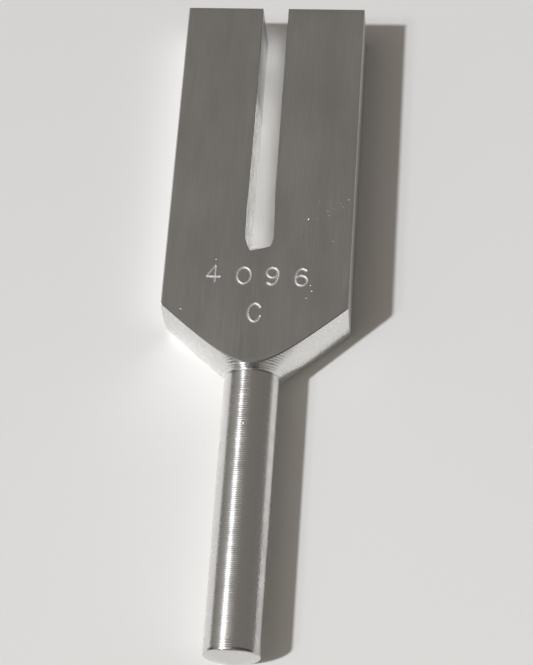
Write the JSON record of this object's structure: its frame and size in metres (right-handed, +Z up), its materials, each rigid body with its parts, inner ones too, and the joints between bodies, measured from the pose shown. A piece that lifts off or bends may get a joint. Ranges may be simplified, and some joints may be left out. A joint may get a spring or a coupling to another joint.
{
  "type": "tuning fork",
  "caption": "Flat aluminium tuning fork: square-cut tines, a turned cone shoulder with pitch marks, and a round handle set into the neck, lying on its back.",
  "frame": {"origin": "on the flat back face that the fork lies on, in the middle of the whole fork's length and width", "axes": "+X across the tines, +Y from the handle to the tine tips, +Z up through the fork's thickness, out of the marked front face"},
  "size_m": [0.0264, 0.0992, 0.0093],
  "materials": {
    "head_metal": "drawn and lightly brushed lengthwise, cone turned",
    "handle_metal": "turned smooth, with fine feed marks round it"
  },
  "bodies": {
    "root": {"fork_head": "head_metal", "handle": "handle_metal"}
  },
  "joints": []
}
